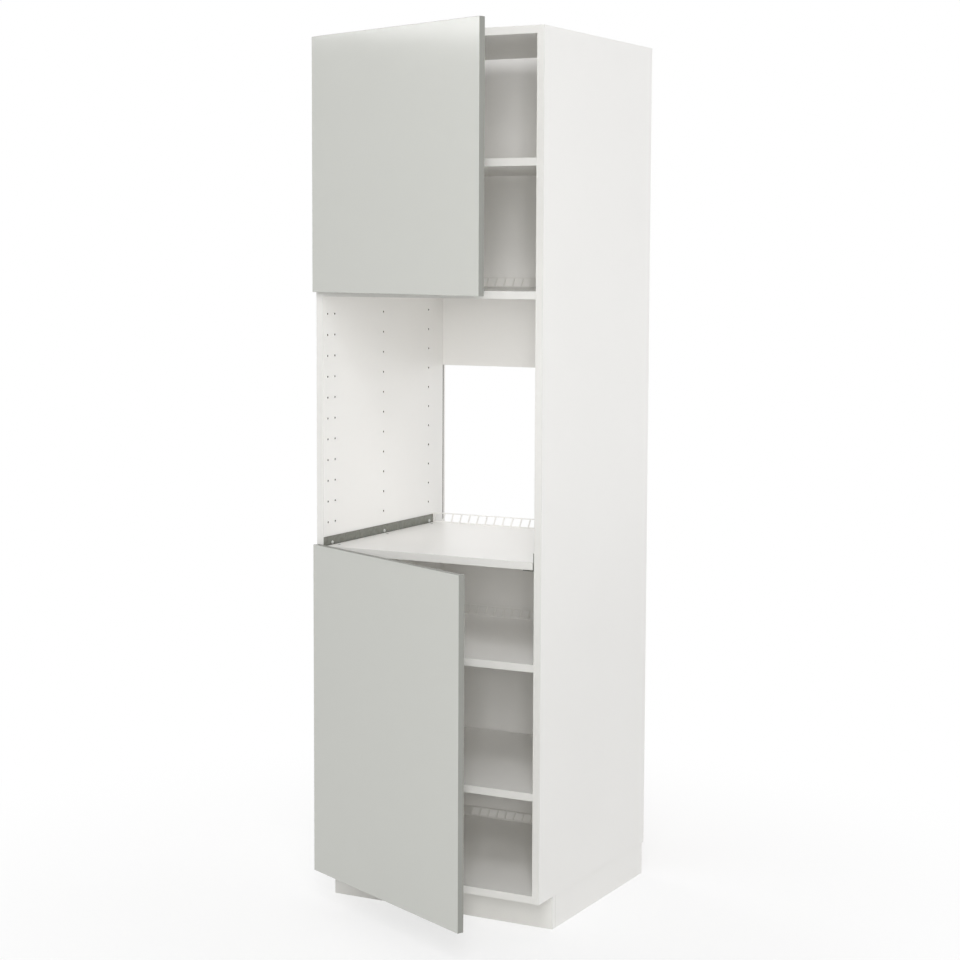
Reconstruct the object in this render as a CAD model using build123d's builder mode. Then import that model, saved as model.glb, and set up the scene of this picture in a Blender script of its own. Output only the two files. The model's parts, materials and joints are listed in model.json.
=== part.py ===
from build123d import *
import math
import os

# Tall kitchen cabinet for a built-in oven: a cupboard with a hinged door above and below an open bay.
# X runs to the right, Y to the back and Z up. The origin is on the floor, in the middle of the plinth's front.
# Doors and hinge links are drawn closed, each in its own plane, and the plane is turned to the rest angle.

# Carcass
cabinet_width = 600.0
cabinet_depth = 600.0
carcass_height = 2000.0
panel = 18.0
edge_round = 0.5
board_fit = 0.2
shelf_side_gap = 1.0
shelf_set_back = 3.0

# Rear edges of the boards, measured forward from the cabinet's rear plane
top_rear_gap = 74.0
bottom_rear_gap = 43.0
shelf_rear_gap = 63.0

# Drilled rows in the side panels, for shelf pins and hinge plates
pin_hole_radius = 2.5
pin_hole_depth = 12.0
hole_web = 1.0
first_row = 49.0
row_pitch = 50.0
front_column = 22.0
plate_column_spacing = 32.0
rear_column_inset = 88.0
pin_fit = 0.1
pin_reach = 8.0

# Fronts
lower_front_height = 800.0
upper_front_height = 600.0
door_thickness = 16.0
door_edge_round = 1.0
door_stand_off = 2.0
door_reveal = 1.5
upper_rest_angle = 20.7
lower_rest_angle = 25.7
bumper_radius = 4.0
bumper_thickness = 1.7
bumper_taper = 25.0
bumper_inset = 9.0

# Shelves, by the height of their middle above the carcass's underside or below its top
low_shelf_height = 250.0
high_shelf_height = 550.0
upper_shelf_drop = 300.0

# Oven shelf and its steel rails
oven_shelf_drop = 6.0
rail_thickness = 2.0
rail_flange = 28.0
rail_upstand = 21.0
rail_front_gap = 1.0
rail_screw_rise = 5.0
rail_front_screw = 37.0
rail_screw_head_radius = 4.5
rail_screw_head = 2.2
screw_head_taper = 20.0
shelf_screw_radius = 2.0
shelf_screw_head_radius = 4.0
shelf_screw_sink = 0.2
countersink_angle = 45.0
shelf_screw_front_inset = 45.0
shelf_screw_rear_inset = 38.0
shelf_screw_side_inset = 17.0

# Back panels, in grooves near the rear edges of the sides
back_thickness = 3.2
groove_width = 4.0
groove_depth = 8.0
groove_inset = 8.0
back_end_gap = 2.0
upper_back_height = 795.0
lower_back_height = 780.0

# Vent strips along the rear edges of the boards
vent_rise = 25.0
vent_thickness = 2.0
vent_drop = 15.0
slot_pitch = 25.0
slot_width = 21.5
slot_height = 20.0
slot_lean = 6.0
slot_corner = 1.5
vent_peg_radius = 2.0
vent_peg_length = 8.0
vent_peg_inset = 120.0
bottom_vent_slots = 13
divider_plain_slots = 2

# Cam fittings that hold the fixed boards
cam_radius = 7.5
cam_depth = 12.5
cam_inset = 24.0
bolt_bore_radius = 4.0
bolt_shank_radius = 3.0
bolt_head_radius = 3.6
bolt_head_length = 3.0
bolt_thread_radius = 2.4
bolt_thread_length = 11.0

# Legs and plinth
plinth_height = 80.0
plinth_set_back = 77.0
plinth_thickness = 16.0
plinth_top_gap = 1.0
plinth_side_inset = 2.7
plinth_left_inset = 1.0
plinth_rear_gap = 4.0
leg_to_plinth = 28.0
rear_leg_inset = 80.0
socket_width = 54.0
socket_plate = 5.0
socket_depth = 20.0
socket_wall = 3.0
leg_tube_radius = 16.0
leg_tube_wall = 2.5
leg_tube_lift = 18.0
leg_fit = 0.15
foot_radius = 25.0
foot_height = 9.0
foot_fit = 0.1
foot_stem_top = 46.0
foot_edge_round = 2.0
leg_screw_radius = 2.0
leg_screw_length = 12.0
leg_screw_head_radius = 3.6
leg_screw_head = 2.0
leg_screw_inset = 8.0
clip_height = 13.0
clip_wall = 2.4
clip_base_width = 34.0
clip_neck_width = 11.0
front_clip_low = 21.0
side_clip_low = 37.0

# Wall brackets in the upper corners
bracket_thickness = 2.5
bracket_height = 30.0
bracket_side_leg = 56.0
bracket_wall_leg = 40.0
bracket_below_top = 60.0
wall_hole_radius = 4.0
back_hole_radius = 6.0
bracket_screw_spacing = 26.0

# Cup hinges. Pivots of a closed door are measured in from the side panel's inner face and ahead of the front.
arm_pivot_in = 22.0
arm_pivot_ahead = -4.56
tip_pivot_in = 16.14
tip_pivot_ahead = 9.5
cup_pivot_in = -3.32
cup_pivot_ahead = 4.32
open_pivot_in = -1.1
open_pivot_ahead = 9.9
open_eye_in = -2.14
open_eye_ahead = 10.84
cup_centre_in = 4.56
outer_link_ratio = 0.4
inner_link_ratio = 0.371
hinge_end_inset = 100.0
cup_radius = 17.5
cup_fit = 0.05
cup_bore_depth = 13.3
cup_floor = 0.7
cup_mouth_half = 14.6
cup_cavity_half = 8.0
cup_flange_thickness = 1.0
cup_flange_width = 17.0
cup_flange_height = 58.0
cup_flange_corner = 5.5
cup_screw_spacing = 48.0
cup_screw_radius = 1.9
cup_screw_length = 9.0
cup_screw_head_radius = 3.4
cup_screw_head = 0.6
pivot_radius = 1.5
pivot_running_gap = 0.05
pivot_press_gap = 0.01
open_pivot_radius = 1.0
open_pivot_slack = 1.5
open_eye_wall = 0.75
link_eye_radius = 2.6
link_half_width = 1.6
outer_link_bow = 2.2
outer_link_bow_share = 0.7
inner_link_bow = 2.0
inner_link_bow_share = 0.3
inner_link_half = 3.5
arm_slot_half = 4.0
arm_half = 5.5
outer_link_low = 6.0
outer_link_high = 7.5
cup_pin_low = 5.9
cup_pin_half = 9.6
arm_length = 70.0
arm_eye_radius = 2.6
arm_bar_width = 10.0
arm_neck_in = 15.8
arm_neck_ahead = -3.5
arm_bar_front = 12.0
plate_thickness = 3.0
plate_width = 18.0
plate_length = 52.0
plate_start = 12.0
plate_screw_head_radius = 4.6
plate_screw_head = 2.0

# Faces and lines worked out from the sizes above
left = -cabinet_width / 2
right = cabinet_width / 2
front = -plinth_set_back - plinth_thickness / 2
rear = front + cabinet_depth
inner_left = left + panel
inner_right = right - panel
carcass_bottom = plinth_height
carcass_top = carcass_bottom + carcass_height
shelf_rear = rear - shelf_rear_gap
bottom_rear = rear - bottom_rear_gap
top_rear = rear - top_rear_gap
plate_column = front_column + plate_column_spacing
front_line = front + front_column
plate_line = front + plate_column
rear_line = rear - rear_column_inset
middle_line = (plate_line + rear_line) / 2
columns = (front_line, plate_line, middle_line, rear_line)
row_count = int((carcass_height - 2 * first_row) / row_pitch) + 1
divider_middle = carcass_top - upper_front_height
bottom_middle = carcass_bottom + panel / 2
top_middle = carcass_top - panel / 2
oven_shelf_top = carcass_bottom + lower_front_height - oven_shelf_drop
oven_shelf_bottom = oven_shelf_top - panel
rail_row = oven_shelf_top + rail_screw_rise
rail_bottom = oven_shelf_bottom - rail_thickness
rail_top = oven_shelf_top + rail_upstand
groove_rear = rear - groove_inset
groove_front = groove_rear - groove_width
back_middle = (groove_front + groove_rear) / 2
upper_door_low = carcass_top - upper_front_height + door_reveal
upper_door_high = carcass_top - door_reveal
lower_door_low = carcass_bottom + door_reveal
lower_door_high = carcass_bottom + lower_front_height - door_reveal


def row_height(number):
    return carcass_bottom + first_row + number * row_pitch


def nearest_row(height):
    return row_height(round((height - carcass_bottom - first_row) / row_pitch))


def board(x_low, x_high, y_low, y_high, z_low, z_high, mode=Mode.ADD):
    with Locations(((x_low + x_high) / 2, (y_low + y_high) / 2, (z_low + z_high) / 2)):
        Box(x_high - x_low, y_high - y_low, z_high - z_low, mode=mode)


def facing_back(y):
    # Sketch plane across the cabinet at depth y: sketch X is X, sketch Y is Z, and it extrudes to the front.
    return Plane.XZ.offset(-y)


low_shelf_row = nearest_row(carcass_bottom + low_shelf_height)
high_shelf_row = nearest_row(carcass_bottom + high_shelf_height)
upper_shelf_row = nearest_row(carcass_top - upper_shelf_drop)
support_lines = (plate_line, rear_line)
bolt_heights = (bottom_middle, divider_middle, top_middle)

os.makedirs("parts", exist_ok=True)

# Side panels: rows of pin holes, bolt holes behind the fixed boards, rail holes and the back panels' groove.
# Rows that the divider's end covers, or that fall on the rail's own row, are not drilled twice.
hole_clearance = 2 * pin_hole_radius + hole_web
drilled_rows = []
for number in range(row_count):
    covered = abs(row_height(number) - divider_middle) < panel / 2 + pin_hole_radius
    on_rail_row = abs(row_height(number) - rail_row) < hole_clearance
    if not covered and not on_rail_row:
        drilled_rows.append(row_height(number))
pin_holes = [(line, height) for line in columns for height in drilled_rows]
rail_lines = (front + rail_front_screw, middle_line, rear_line)
bolt_holes = [(line, height) for line in support_lines for height in bolt_heights]
rail_holes = [(line, rail_row) for line in rail_lines]
bracket_middle = carcass_top - bracket_below_top
bracket_rear = groove_front - board_fit
bracket_screw_line = bracket_rear - bracket_side_leg / 2
bracket_screw_lines = (
    bracket_screw_line - bracket_screw_spacing / 2,
    bracket_screw_line + bracket_screw_spacing / 2,
)
bracket_holes = [(line, bracket_middle) for line in bracket_screw_lines]

for side, name in ((-1, "left_side_panel"), (1, "right_side_panel")):
    inner_face = side * inner_right
    outer_face = side * right
    with BuildPart() as side_panel:
        board(
            min(inner_face, outer_face), max(inner_face, outer_face), front, rear, carcass_bottom, carcass_top
        )
        fillet(side_panel.edges().filter_by(Axis.Z).group_by(Axis.Y)[0], edge_round)
        with BuildSketch(Plane.YZ.offset(inner_face)):
            with Locations(*pin_holes, *rail_holes, *bolt_holes, *bracket_holes):
                Circle(pin_hole_radius)
        extrude(amount=side * pin_hole_depth, mode=Mode.SUBTRACT)
        groove_floor = inner_face + side * groove_depth
        board(
            min(inner_face, groove_floor),
            max(inner_face, groove_floor),
            groove_front,
            groove_rear,
            carcass_bottom + back_end_gap,
            carcass_top,
            Mode.SUBTRACT,
        )
    side_panel.part.label = name
    export_step(side_panel.part, f"parts/{name}.step")

# Plinth faces and the legs behind them
plinth_front_face = front + plinth_set_back
plinth_rear_face = plinth_front_face + plinth_thickness
return_outer = right - plinth_side_inset
return_inner = return_outer - plinth_thickness
leg_x = return_inner - leg_to_plinth
front_leg_y = plinth_rear_face + leg_to_plinth
rear_leg_y = rear - rear_leg_inset
leg_places = [(side * leg_x, y) for side in (-1, 1) for y in (front_leg_y, rear_leg_y)]
leg_screw_offset = socket_width / 2 - leg_screw_inset
leg_screw_places = [
    (x + across * leg_screw_offset, y + along * leg_screw_offset)
    for x, y in leg_places
    for across, along in ((-1, -1), (1, 1))
]

# Fixed boards between the sides, each with four end bores for bolts and four cam bores from below
fixed_boards = (
    ("bottom_panel", bottom_middle, bottom_rear),
    ("divider_shelf", divider_middle, shelf_rear),
    ("top_panel", top_middle, top_rear),
)
cam_offset = inner_right - cam_inset
cam_places = [(side * cam_offset, line) for side in (-1, 1) for line in support_lines]
vent_pegs = [side * (inner_right - vent_peg_inset) for side in (-1, 0, 1)]

for name, middle, rear_edge in fixed_boards:
    with BuildPart() as fixed_board:
        board(inner_left, inner_right, front, rear_edge, middle - panel / 2, middle + panel / 2)
        fillet(fixed_board.edges().filter_by(Axis.X).group_by(Axis.Y)[0], edge_round)
        for side in (-1, 1):
            with BuildSketch(Plane.YZ.offset(side * inner_right)):
                with Locations(*[(line, middle) for line in support_lines]):
                    Circle(bolt_bore_radius)
            extrude(amount=-side * cam_inset, mode=Mode.SUBTRACT)
        with BuildSketch(Plane.XY.offset(middle - panel / 2)):
            with Locations(*cam_places):
                Circle(cam_radius)
        extrude(amount=cam_depth, mode=Mode.SUBTRACT)
        if name != "top_panel":
            with BuildSketch(facing_back(rear_edge)):
                with Locations(*[(x, middle) for x in vent_pegs]):
                    Circle(vent_peg_radius + pin_fit)
            extrude(amount=vent_peg_length + pin_fit, mode=Mode.SUBTRACT)
        if name == "bottom_panel":
            with BuildSketch(Plane.XY.offset(carcass_bottom)):
                with Locations(*leg_screw_places):
                    Circle(leg_screw_radius + pin_fit)
            extrude(amount=leg_screw_length - socket_plate + pin_fit, mode=Mode.SUBTRACT)
    fixed_board.part.label = name
    export_step(fixed_board.part, f"parts/{name}.step")

# Cam locks: a disc in each cam bore, cut out where the bolt's head lies in it
with BuildPart() as cam_locks:
    for middle in bolt_heights:
        with BuildSketch(Plane.XY.offset(middle - panel / 2)):
            with Locations(*cam_places):
                Circle(cam_radius - pin_fit)
        extrude(amount=cam_depth - pin_fit)
        for side in (-1, 1):
            with BuildSketch(Plane.YZ.offset(side * inner_right)):
                with Locations(*[(line, middle) for line in support_lines]):
                    Circle(bolt_bore_radius)
            extrude(amount=-side * cam_inset, mode=Mode.SUBTRACT)
cam_locks.part.label = "cam_locks"
export_step(cam_locks.part, "parts/cam_locks.step")

# Cam bolts: threaded into the side panel, with a shank across the joint and a head inside the cam lock
bolt_shank_length = cam_inset - bolt_head_length - pin_fit
with BuildPart() as cam_bolts:
    for side in (-1, 1):
        ends = [(line, height) for line in support_lines for height in bolt_heights]
        with BuildSketch(Plane.YZ.offset(side * inner_right)):
            with Locations(*ends):
                Circle(bolt_thread_radius)
        extrude(amount=side * bolt_thread_length)
        with BuildSketch(Plane.YZ.offset(side * inner_right)):
            with Locations(*ends):
                Circle(bolt_shank_radius)
        extrude(amount=-side * bolt_shank_length)
        with BuildSketch(Plane.YZ.offset(side * (inner_right - bolt_shank_length))):
            with Locations(*ends):
                Circle(bolt_head_radius)
        extrude(amount=-side * bolt_head_length)
cam_bolts.part.label = "cam_bolts"
export_step(cam_bolts.part, "parts/cam_bolts.step")

# Loose shelves on pins: notches in their ends come down over the pins
loose_shelves = (
    ("lower_shelf_low", low_shelf_row),
    ("lower_shelf_high", high_shelf_row),
    ("upper_shelf", upper_shelf_row),
)
shelf_right = inner_right - shelf_side_gap
shelf_front = front + shelf_set_back
notch_half = pin_hole_radius + pin_fit
for name, middle in loose_shelves:
    with BuildPart() as loose_shelf:
        board(-shelf_right, shelf_right, shelf_front, shelf_rear, middle - panel / 2, middle + panel / 2)
        fillet(loose_shelf.edges().filter_by(Axis.X).group_by(Axis.Y)[0], edge_round)
        for side in (-1, 1):
            inner_end = side * (inner_right - pin_reach - pin_fit)
            outer_end = side * shelf_right
            for line in support_lines:
                board(
                    min(inner_end, outer_end),
                    max(inner_end, outer_end),
                    line - notch_half,
                    line + notch_half,
                    middle - panel / 2,
                    middle + pin_hole_radius - pin_fit,
                    Mode.SUBTRACT,
                )
        if name == "lower_shelf_high":
            with BuildSketch(facing_back(shelf_rear)):
                with Locations(*[(x, middle) for x in vent_pegs]):
                    Circle(vent_peg_radius + pin_fit)
            extrude(amount=vent_peg_length + pin_fit, mode=Mode.SUBTRACT)
    loose_shelf.part.label = name
    export_step(loose_shelf.part, f"parts/{name}.step")

# Shelf pins: half in the side panel's hole, half in the shelf's notch
with BuildPart() as shelf_pins:
    for side in (-1, 1):
        with BuildSketch(Plane.YZ.offset(side * (inner_right - pin_reach))):
            with Locations(*[(line, middle) for line in support_lines for _, middle in loose_shelves]):
                Circle(pin_hole_radius - pin_fit)
        extrude(amount=side * (pin_reach + pin_hole_depth - pin_fit))
shelf_pins.part.label = "shelf_pins"
export_step(shelf_pins.part, "parts/shelf_pins.step")

# Oven rails: steel angles on the side panels, with the shelf between their upright flanges
rail_front = front + rail_front_gap
rail_rear = shelf_rear - shelf_set_back - rail_front_gap
front_screw_line = front + shelf_screw_front_inset
rear_screw_line = shelf_rear - shelf_screw_rear_inset
shelf_screw_lines = (front_screw_line, (front_screw_line + rear_screw_line) / 2, rear_screw_line)
shelf_screw_x = inner_right - shelf_screw_side_inset
for side, name in ((-1, "left_oven_rail"), (1, "right_oven_rail")):
    wall = side * inner_right
    upright = side * (inner_right - rail_thickness)
    toe = side * (inner_right - rail_flange)
    with BuildPart() as oven_rail:
        board(min(wall, upright), max(wall, upright), rail_front, rail_rear, rail_bottom, rail_top)
        board(min(wall, toe), max(wall, toe), rail_front, rail_rear, rail_bottom, oven_shelf_bottom)
        with BuildSketch(Plane.YZ.offset(wall)):
            with Locations(*rail_holes):
                Circle(pin_hole_radius)
        extrude(amount=-side * rail_thickness, mode=Mode.SUBTRACT)
        with BuildSketch(Plane.XY.offset(rail_bottom)):
            with Locations(*[(side * shelf_screw_x, line) for line in shelf_screw_lines]):
                Circle(shelf_screw_radius + pin_fit)
        extrude(amount=rail_thickness, mode=Mode.SUBTRACT)
    oven_rail.part.label = name
    export_step(oven_rail.part, f"parts/{name}.step")

# Rail screws: pan heads on the upright flange, shanks in the side panel's holes
with BuildPart() as rail_screws:
    for side in (-1, 1):
        flange_face = side * (inner_right - rail_thickness)
        with BuildSketch(Plane.YZ.offset(flange_face)):
            with Locations(*rail_holes):
                Circle(pin_hole_radius - pin_fit)
        extrude(amount=side * (rail_thickness + pin_hole_depth - pin_fit))
        with BuildSketch(Plane.YZ.offset(flange_face)):
            with Locations(*rail_holes):
                Circle(rail_screw_head_radius)
        extrude(amount=-side * rail_screw_head, taper=screw_head_taper)
rail_screws.part.label = "rail_screws"
export_step(rail_screws.part, "parts/rail_screws.step")

# Oven shelf: a board on the rails' toes, clear of the rail screws' heads and countersunk for its own screws
oven_shelf_right = inner_right - rail_thickness - rail_screw_head - board_fit
countersink_depth = shelf_screw_head_radius - shelf_screw_radius
shelf_screw_places = [(side * shelf_screw_x, line) for side in (-1, 1) for line in shelf_screw_lines]
with BuildPart() as oven_shelf:
    board(-oven_shelf_right, oven_shelf_right, shelf_front, shelf_rear, oven_shelf_bottom, oven_shelf_top)
    fillet(oven_shelf.edges().filter_by(Axis.X).group_by(Axis.Y)[0], edge_round)
    with BuildSketch(Plane.XY.offset(oven_shelf_bottom)):
        with Locations(*shelf_screw_places):
            Circle(shelf_screw_radius + pin_fit)
    extrude(amount=panel, mode=Mode.SUBTRACT)
    with BuildSketch(Plane.XY.offset(oven_shelf_top)):
        with Locations(*shelf_screw_places):
            Circle(shelf_screw_head_radius + shelf_screw_sink + pin_fit)
    extrude(amount=-countersink_depth - shelf_screw_sink, taper=countersink_angle, mode=Mode.SUBTRACT)
    with BuildSketch(facing_back(shelf_rear)):
        with Locations(*[(x, oven_shelf_top - panel / 2) for x in vent_pegs]):
            Circle(vent_peg_radius + pin_fit)
    extrude(amount=vent_peg_length + pin_fit, mode=Mode.SUBTRACT)
oven_shelf.part.label = "oven_shelf"
export_step(oven_shelf.part, "parts/oven_shelf.step")

# Oven shelf screws: down through the board and the rail's toe
with BuildPart() as oven_shelf_screws:
    with BuildSketch(Plane.XY.offset(oven_shelf_top - shelf_screw_sink)):
        with Locations(*shelf_screw_places):
            Circle(shelf_screw_radius)
    extrude(amount=-(panel + 2 * rail_thickness))
    with BuildSketch(Plane.XY.offset(oven_shelf_top - shelf_screw_sink)):
        with Locations(*shelf_screw_places):
            Circle(shelf_screw_head_radius)
    extrude(amount=-countersink_depth, taper=countersink_angle)
oven_shelf_screws.part.label = "oven_shelf_screws"
export_step(oven_shelf_screws.part, "parts/oven_shelf_screws.step")

# Back panels: thin boards in the side grooves. The upper one hangs down into the oven bay.
back_right = inner_right + groove_depth - board_fit
back_front = back_middle - back_thickness / 2
back_rear = back_middle + back_thickness / 2
wall_hole_x = inner_right - bracket_wall_leg / 2
upper_back_high = carcass_top - back_end_gap
upper_back_low = upper_back_high - upper_back_height
lower_back_low = carcass_bottom + back_end_gap
with BuildPart() as upper_back_panel:
    board(-back_right, back_right, back_front, back_rear, upper_back_low, upper_back_high)
    with BuildSketch(facing_back(back_rear)):
        with Locations((-wall_hole_x, bracket_middle), (wall_hole_x, bracket_middle)):
            Circle(back_hole_radius)
    extrude(amount=back_thickness, mode=Mode.SUBTRACT)
upper_back_panel.part.label = "upper_back_panel"
export_step(upper_back_panel.part, "parts/upper_back_panel.step")

with BuildPart() as lower_back_panel:
    board(-back_right, back_right, back_front, back_rear, lower_back_low, lower_back_low + lower_back_height)
lower_back_panel.part.label = "lower_back_panel"
export_step(lower_back_panel.part, "parts/lower_back_panel.step")

# Vent strips: a slotted upright behind a board's rear edge, held by pegs in that edge.
# The slots lean to the right. The bottom strip is slotted in its middle, the divider's has a plain stretch.
with BuildSketch() as vent_slot:
    Polygon(
        (-slot_width / 2 - slot_lean / 2, -slot_height / 2),
        (slot_width / 2 - slot_lean / 2, -slot_height / 2),
        (slot_width / 2 + slot_lean / 2, slot_height / 2),
        (-slot_width / 2 + slot_lean / 2, slot_height / 2),
        align=None,
    )
    fillet(vent_slot.vertices(), slot_corner)

slot_count = int((2 * shelf_right - slot_lean) / slot_pitch)
slot_line = [(number - (slot_count - 1) / 2) * slot_pitch for number in range(slot_count)]
plain_start = slot_count // 2
plain_slots = slot_line[plain_start:plain_start + divider_plain_slots]
bottom_start = (slot_count - bottom_vent_slots) // 2
vent_strips = (
    ("bottom_vent_strip", carcass_bottom + panel, bottom_rear,
     slot_line[bottom_start:bottom_start + bottom_vent_slots]),
    ("lower_shelf_vent_strip", high_shelf_row + panel / 2, shelf_rear, slot_line),
    ("oven_shelf_vent_strip", oven_shelf_top, shelf_rear, slot_line),
    ("divider_vent_strip", divider_middle + panel / 2, shelf_rear,
     [x for x in slot_line if x not in plain_slots]),
)
for name, board_top, board_rear, slots in vent_strips:
    with BuildPart() as vent_strip:
        board(
            -shelf_right, shelf_right, board_rear, board_rear + vent_thickness,
            board_top - vent_drop, board_top + vent_rise,
        )
        with BuildSketch(facing_back(board_rear + vent_thickness)):
            with Locations(*[(x, board_top + vent_rise / 2) for x in slots]):
                add(vent_slot.sketch)
        extrude(amount=vent_thickness, mode=Mode.SUBTRACT)
        with BuildSketch(facing_back(board_rear)):
            with Locations(*[(x, board_top - panel / 2) for x in vent_pegs]):
                Circle(vent_peg_radius)
        extrude(amount=vent_peg_length)
    vent_strip.part.label = name
    export_step(vent_strip.part, f"parts/{name}.step")

# Wall brackets: steel angles on the side panels, holed for a wall screw through the back panel
with BuildPart() as wall_brackets:
    for side in (-1, 1):
        wall = side * inner_right
        leg_face = side * (inner_right - bracket_thickness)
        toe = side * (inner_right - bracket_wall_leg)
        low = bracket_middle - bracket_height / 2
        high = bracket_middle + bracket_height / 2
        leg_front = bracket_rear - bracket_side_leg
        board(min(wall, leg_face), max(wall, leg_face), leg_front, bracket_rear, low, high)
        board(min(wall, toe), max(wall, toe), bracket_rear - bracket_thickness, bracket_rear, low, high)
        with BuildSketch(Plane.YZ.offset(wall)):
            with Locations(*bracket_holes):
                Circle(pin_hole_radius)
        extrude(amount=-side * bracket_thickness, mode=Mode.SUBTRACT)
    with BuildSketch(facing_back(bracket_rear)):
        with Locations((-wall_hole_x, bracket_middle), (wall_hole_x, bracket_middle)):
            Circle(wall_hole_radius)
    extrude(amount=bracket_thickness, mode=Mode.SUBTRACT)
wall_brackets.part.label = "wall_brackets"
export_step(wall_brackets.part, "parts/wall_brackets.step")

with BuildPart() as wall_bracket_screws:
    for side in (-1, 1):
        leg_face = side * (inner_right - bracket_thickness)
        with BuildSketch(Plane.YZ.offset(leg_face)):
            with Locations(*bracket_holes):
                Circle(pin_hole_radius - pin_fit)
        extrude(amount=side * (bracket_thickness + pin_hole_depth - pin_fit))
        with BuildSketch(Plane.YZ.offset(leg_face)):
            with Locations(*bracket_holes):
                Circle(rail_screw_head_radius)
        extrude(amount=-side * rail_screw_head, taper=screw_head_taper)
wall_bracket_screws.part.label = "wall_bracket_screws"
export_step(wall_bracket_screws.part, "parts/wall_bracket_screws.step")

# Legs: a socket under the bottom panel, a tube in the socket, and a levelling foot in the tube
socket_low = carcass_bottom - socket_plate
with BuildPart() as leg_sockets:
    with BuildSketch(Plane.XY.offset(socket_low)):
        with Locations(*leg_places):
            RectangleRounded(socket_width, socket_width, leg_screw_inset)
    extrude(amount=socket_plate)
    with BuildSketch(Plane.XY.offset(socket_low)):
        with Locations(*leg_places):
            Circle(leg_tube_radius + leg_fit + socket_wall)
            Circle(leg_tube_radius + leg_fit, mode=Mode.SUBTRACT)
    extrude(amount=-socket_depth)
    with BuildSketch(Plane.XY.offset(socket_low)):
        with Locations(*leg_screw_places):
            Circle(leg_screw_radius + pin_fit)
    extrude(amount=socket_plate, mode=Mode.SUBTRACT)
leg_sockets.part.label = "leg_sockets"
export_step(leg_sockets.part, "parts/leg_sockets.step")

with BuildPart() as leg_tubes:
    with BuildSketch(Plane.XY.offset(leg_tube_lift)):
        with Locations(*leg_places):
            Circle(leg_tube_radius)
            Circle(leg_tube_radius - leg_tube_wall, mode=Mode.SUBTRACT)
    extrude(amount=socket_low - leg_tube_lift)
leg_tubes.part.label = "leg_tubes"
export_step(leg_tubes.part, "parts/leg_tubes.step")

with BuildPart() as leg_screws:
    with BuildSketch(Plane.XY.offset(socket_low)):
        with Locations(*leg_screw_places):
            Circle(leg_screw_radius)
    extrude(amount=leg_screw_length)
    with BuildSketch(Plane.XY.offset(socket_low)):
        with Locations(*leg_screw_places):
            Circle(leg_screw_head_radius)
    extrude(amount=-leg_screw_head, taper=screw_head_taper)
leg_screws.part.label = "leg_screws"
export_step(leg_screws.part, "parts/leg_screws.step")

foot_names = ("front_left_foot", "rear_left_foot", "front_right_foot", "rear_right_foot")
for name, place in zip(foot_names, leg_places):
    with BuildPart() as foot:
        with BuildSketch():
            with Locations(place):
                Circle(foot_radius)
        extrude(amount=foot_height)
        fillet(foot.edges().group_by(Axis.Z)[-1], foot_edge_round)
        with BuildSketch(Plane.XY.offset(foot_height)):
            with Locations(place):
                Circle(leg_tube_radius - leg_tube_wall - foot_fit)
        extrude(amount=foot_stem_top - foot_height)
    foot.part.label = name
    export_step(foot.part, f"parts/{name}.step")

# Plinth: a front board and a return along the right side, clipped to the legs
plinth_high = carcass_bottom - plinth_top_gap
with BuildPart() as plinth_front:
    board(left + plinth_left_inset, return_outer, plinth_front_face, plinth_rear_face, 0, plinth_high)
    fillet(plinth_front.edges().filter_by(Axis.Z).group_by(Axis.Y)[0], edge_round)
plinth_front.part.label = "plinth_front"
export_step(plinth_front.part, "parts/plinth_front.step")

with BuildPart() as plinth_return:
    board(return_inner, return_outer, plinth_rear_face, rear - plinth_rear_gap, 0, plinth_high)
    fillet(plinth_return.edges().filter_by(Axis.Z).group_by(Axis.Y)[-1], edge_round)
plinth_return.part.label = "plinth_return"
export_step(plinth_return.part, "parts/plinth_return.step")

# Plinth clips: a springy ring open on its far side, on a base against the board
clip_ring_radius = leg_tube_radius + leg_fit + clip_wall
clip_places = (
    (-leg_x, front_leg_y, -90, front_clip_low),
    (leg_x, front_leg_y, -90, front_clip_low),
    (leg_x, front_leg_y, 0, side_clip_low),
    (leg_x, rear_leg_y, 0, side_clip_low),
)
with BuildPart() as plinth_clips:
    for x, y, turn, low in clip_places:
        towards_board = Plane(origin=(x, y, low), x_dir=Vector(1, 0, 0).rotate(Axis.Z, turn))
        with BuildSketch(towards_board):
            Circle(clip_ring_radius)
            with Locations((leg_to_plinth - clip_wall / 2, 0)):
                Rectangle(clip_wall, clip_base_width)
            with Locations((leg_to_plinth / 2, 0)):
                Rectangle(leg_to_plinth, clip_neck_width)
            Circle(leg_tube_radius + leg_fit, mode=Mode.SUBTRACT)
            with Locations((-clip_ring_radius, 0)):
                Rectangle(clip_ring_radius, leg_tube_radius, mode=Mode.SUBTRACT)
        extrude(amount=clip_height)
plinth_clips.part.label = "plinth_clips"
export_step(plinth_clips.part, "parts/plinth_clips.step")

# Hinge pivots of a closed door
arm_pivot = Vector(inner_left + arm_pivot_in, front - arm_pivot_ahead)
tip_pivot = Vector(inner_left + tip_pivot_in, front - tip_pivot_ahead)
cup_pivot = Vector(inner_left + cup_pivot_in, front - cup_pivot_ahead)
open_pivot = Vector(inner_left + open_pivot_in, front - open_pivot_ahead)
open_eye = Vector(inner_left + open_eye_in, front - open_eye_ahead)
cup_centre_x = inner_left + cup_centre_in
door_back = front - door_stand_off
door_front = door_back - door_thickness
open_eye_radius = open_pivot_radius + open_pivot_slack + open_eye_wall
plate_face = inner_left + plate_thickness
press_radius = pivot_radius + pivot_press_gap


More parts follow.
